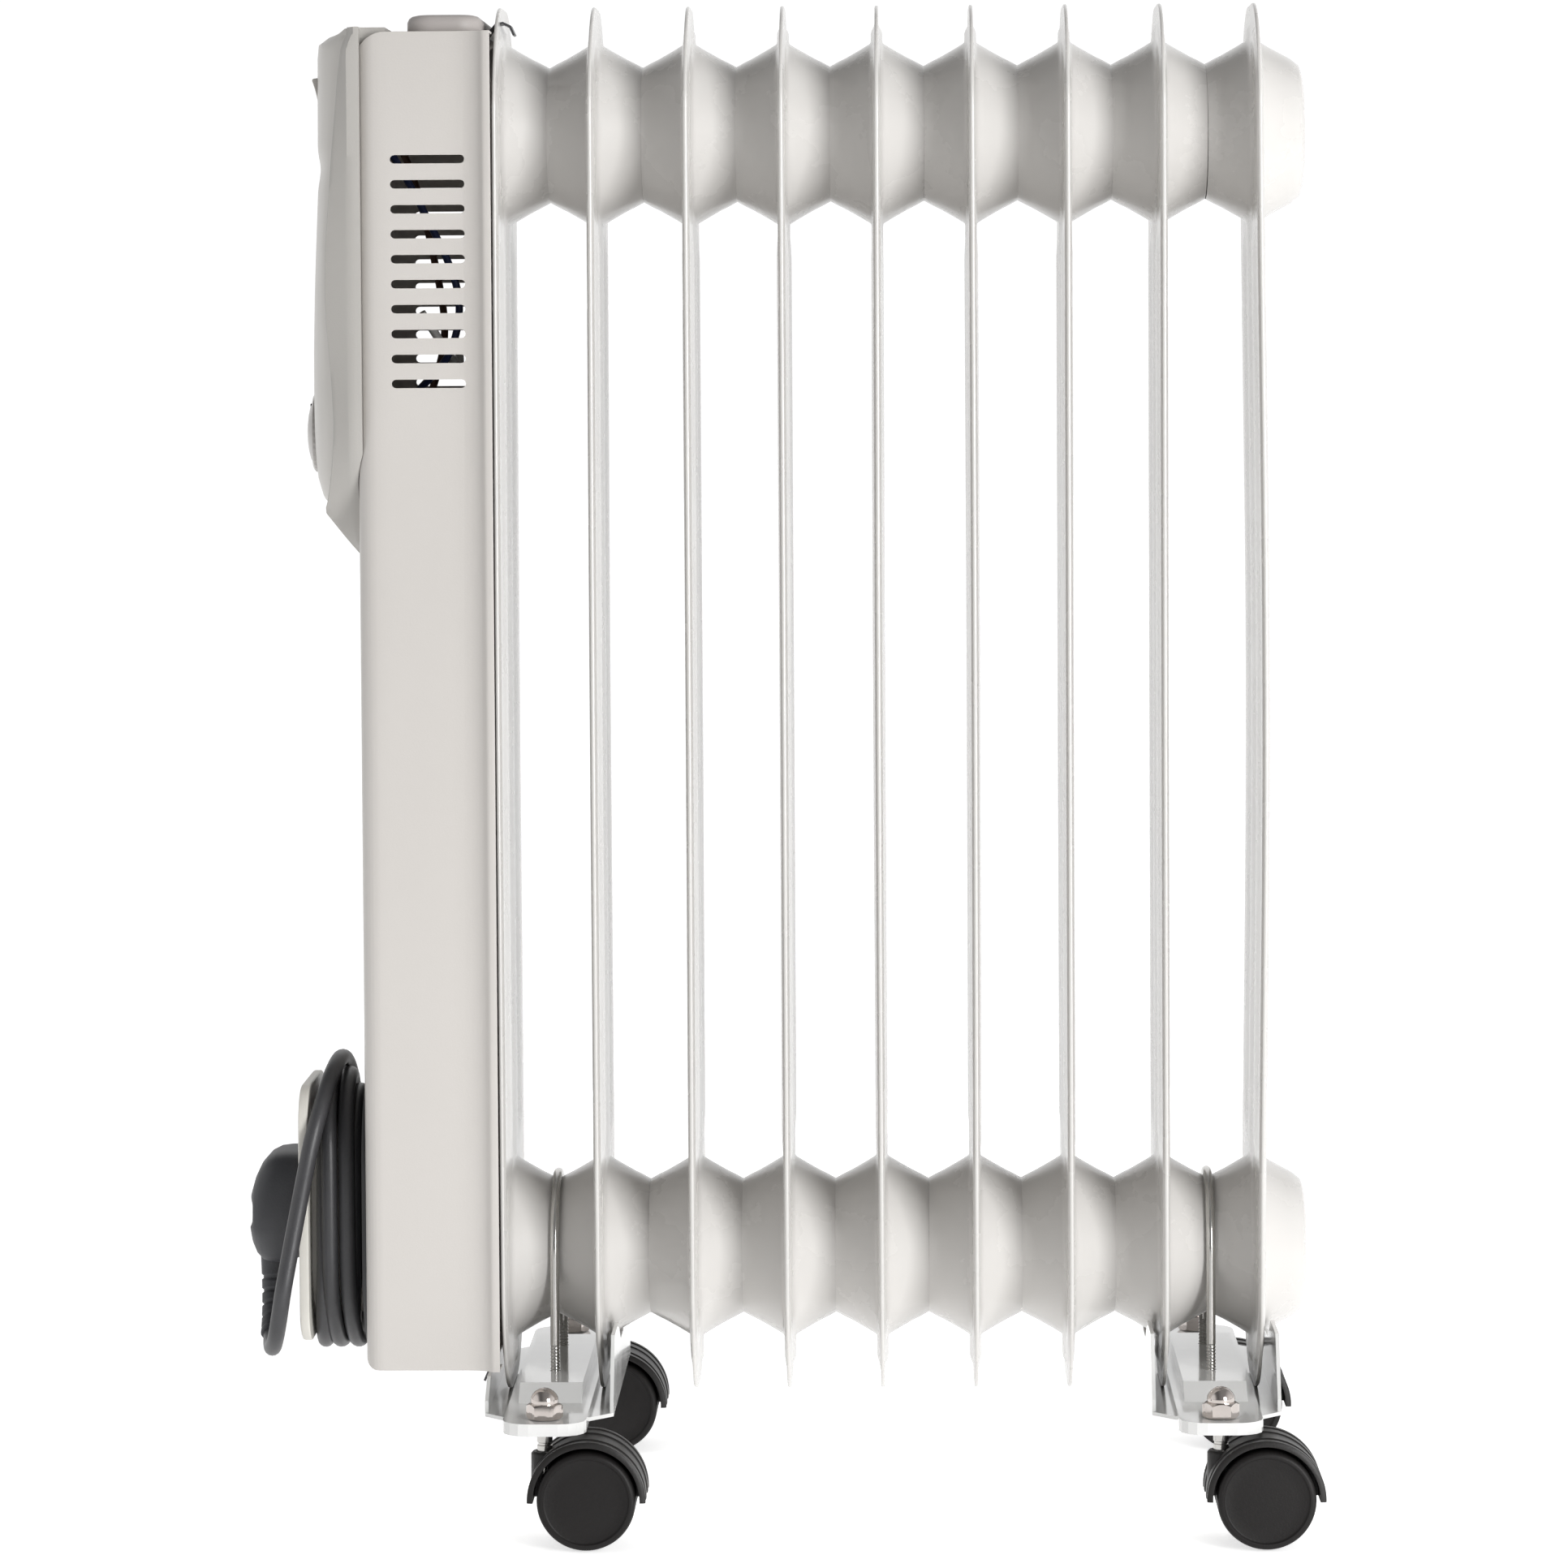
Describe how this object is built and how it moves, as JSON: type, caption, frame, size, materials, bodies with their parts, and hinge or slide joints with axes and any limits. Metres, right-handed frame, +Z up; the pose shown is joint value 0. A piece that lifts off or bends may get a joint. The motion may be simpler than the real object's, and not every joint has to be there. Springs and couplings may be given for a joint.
{
  "type": "oil filled radiator heater",
  "caption": "Upright column radiator on casters: pressed fins on two headers, a sheet steel control housing, a domed panel with knob and rockers, a cord wrap and a wound mains lead.",
  "frame": {"origin": "on the floor, under the middle of the heater without its mains lead", "axes": "+X along the fins' stack from the control housing to the closed header ends, +Z up, -Y is the side seen in the picture"},
  "size_m": [0.4462, 0.248, 0.6265],
  "materials": {
    "enamel": "gloss powder coat",
    "housing_paint": "satin powder coat",
    "wrap_plastic": "fine grain",
    "bezel_plastic": "fine grain",
    "panel_plastic": "satin",
    "knob_plastic": "satin",
    "black_plastic": "moulded",
    "phenolic": "moulded",
    "cord_rubber": "satin",
    "spring_steel": "blued",
    "plated_steel": "zinc plated",
    "nickel": "nickel plated",
    "bracket_paint": "gloss powder coat"
  },
  "bodies": {
    "chassis": {"fin_1": "enamel", "fin_2": "enamel", "fin_3": "enamel", "fin_4": "enamel", "fin_5": "enamel", "fin_6": "enamel", "fin_7": "enamel", "fin_8": "enamel", "fin_9": "enamel", "control_housing": "housing_paint", "cord_wrap": "wrap_plastic", "panel_bezel": "bezel_plastic", "carry_handle": "bezel_plastic", "control_fascia": "panel_plastic", "terminal_block": "panel_plastic", "switch_block": "black_plastic", "cord_wrap_base": "black_plastic", "cord_gland": "black_plastic", "tilt_switch": "black_plastic", "thermostat_body": "phenolic", "cord_coil": "cord_rubber", "cord_tail": "cord_rubber", "mains_plug": "cord_rubber", "plug_strain_relief": "cord_rubber", "top_clip": "spring_steel", "bottom_clip": "spring_steel", "heating_element": "spring_steel", "element_plug": "plated_steel", "u_bolt_left": "plated_steel", "u_bolt_right": "plated_steel", "wing_nut_1": "plated_steel", "wing_nut_2": "plated_steel", "wing_nut_3": "plated_steel", "wing_nut_4": "plated_steel", "caster_stem_1": "plated_steel", "caster_stem_2": "plated_steel", "caster_stem_3": "plated_steel", "caster_stem_4": "plated_steel", "acorn_nut_1": "nickel", "acorn_nut_2": "nickel", "acorn_nut_3": "nickel", "acorn_nut_4": "nickel", "bracket_left": "bracket_paint", "bracket_right": "bracket_paint"},
    "knob": {"thermostat_knob": "knob_plastic"},
    "rocker_near": {"rocker_1": "panel_plastic"},
    "rocker_far": {"rocker_2": "panel_plastic"},
    "caster_1": {"caster_hood_1": "black_plastic"},
    "caster_2": {"caster_hood_2": "black_plastic"},
    "caster_3": {"caster_hood_3": "black_plastic"},
    "caster_4": {"caster_hood_4": "black_plastic"},
    "wheel_1a": {"caster_wheel_1a": "black_plastic"},
    "wheel_1b": {"caster_wheel_1b": "black_plastic"},
    "wheel_2a": {"caster_wheel_2a": "black_plastic"},
    "wheel_2b": {"caster_wheel_2b": "black_plastic"},
    "wheel_3a": {"caster_wheel_3a": "black_plastic"},
    "wheel_3b": {"caster_wheel_3b": "black_plastic"},
    "wheel_4a": {"caster_wheel_4a": "black_plastic"},
    "wheel_4b": {"caster_wheel_4b": "black_plastic"}
  },
  "joints": [
    {"name": "knob_turn", "type": "hinge", "parent": "chassis", "child": "knob", "pos_m": [-0.1994, 0, 0.45], "axis": [1, 0, 0], "range_deg": [-135, 135]},
    {"name": "rocker_near_press", "type": "hinge", "parent": "chassis", "child": "rocker_near", "pos_m": [-0.1969, -0.014, 0.588], "axis": [0, 1, 0], "range_deg": [0, 16]},
    {"name": "rocker_far_press", "type": "hinge", "parent": "chassis", "child": "rocker_far", "pos_m": [-0.1969, 0.014, 0.588], "axis": [0, 1, 0], "range_deg": [0, 16]},
    {"name": "caster_1_swivel", "type": "hinge", "parent": "chassis", "child": "caster_1", "pos_m": [-0.1046, -0.1045, 0.03], "axis": [0, 0, 1], "continuous": true},
    {"name": "wheel_1a_spin", "type": "hinge", "parent": "caster_1", "child": "wheel_1a", "pos_m": [-0.0871, -0.11605, 0.02], "axis": [0, 1, 0], "continuous": true},
    {"name": "wheel_1b_spin", "type": "hinge", "parent": "caster_1", "child": "wheel_1b", "pos_m": [-0.0871, -0.09295, 0.02], "axis": [0, 1, 0], "continuous": true},
    {"name": "caster_2_swivel", "type": "hinge", "parent": "chassis", "child": "caster_2", "pos_m": [0.1698, -0.1045, 0.03], "axis": [0, 0, 1], "continuous": true},
    {"name": "wheel_2a_spin", "type": "hinge", "parent": "caster_2", "child": "wheel_2a", "pos_m": [0.1873, -0.11605, 0.02], "axis": [0, 1, 0], "continuous": true},
    {"name": "wheel_2b_spin", "type": "hinge", "parent": "caster_2", "child": "wheel_2b", "pos_m": [0.1873, -0.09295, 0.02], "axis": [0, 1, 0], "continuous": true},
    {"name": "caster_3_swivel", "type": "hinge", "parent": "chassis", "child": "caster_3", "pos_m": [-0.1046, 0.1045, 0.03], "axis": [0, 0, 1], "continuous": true},
    {"name": "wheel_3a_spin", "type": "hinge", "parent": "caster_3", "child": "wheel_3a", "pos_m": [-0.0871, 0.09295, 0.02], "axis": [0, 1, 0], "continuous": true},
    {"name": "wheel_3b_spin", "type": "hinge", "parent": "caster_3", "child": "wheel_3b", "pos_m": [-0.0871, 0.11605, 0.02], "axis": [0, 1, 0], "continuous": true},
    {"name": "caster_4_swivel", "type": "hinge", "parent": "chassis", "child": "caster_4", "pos_m": [0.1698, 0.1045, 0.03], "axis": [0, 0, 1], "continuous": true},
    {"name": "wheel_4a_spin", "type": "hinge", "parent": "caster_4", "child": "wheel_4a", "pos_m": [0.1873, 0.09295, 0.02], "axis": [0, 1, 0], "continuous": true},
    {"name": "wheel_4b_spin", "type": "hinge", "parent": "caster_4", "child": "wheel_4b", "pos_m": [0.1873, 0.11605, 0.02], "axis": [0, 1, 0], "continuous": true}
  ]
}
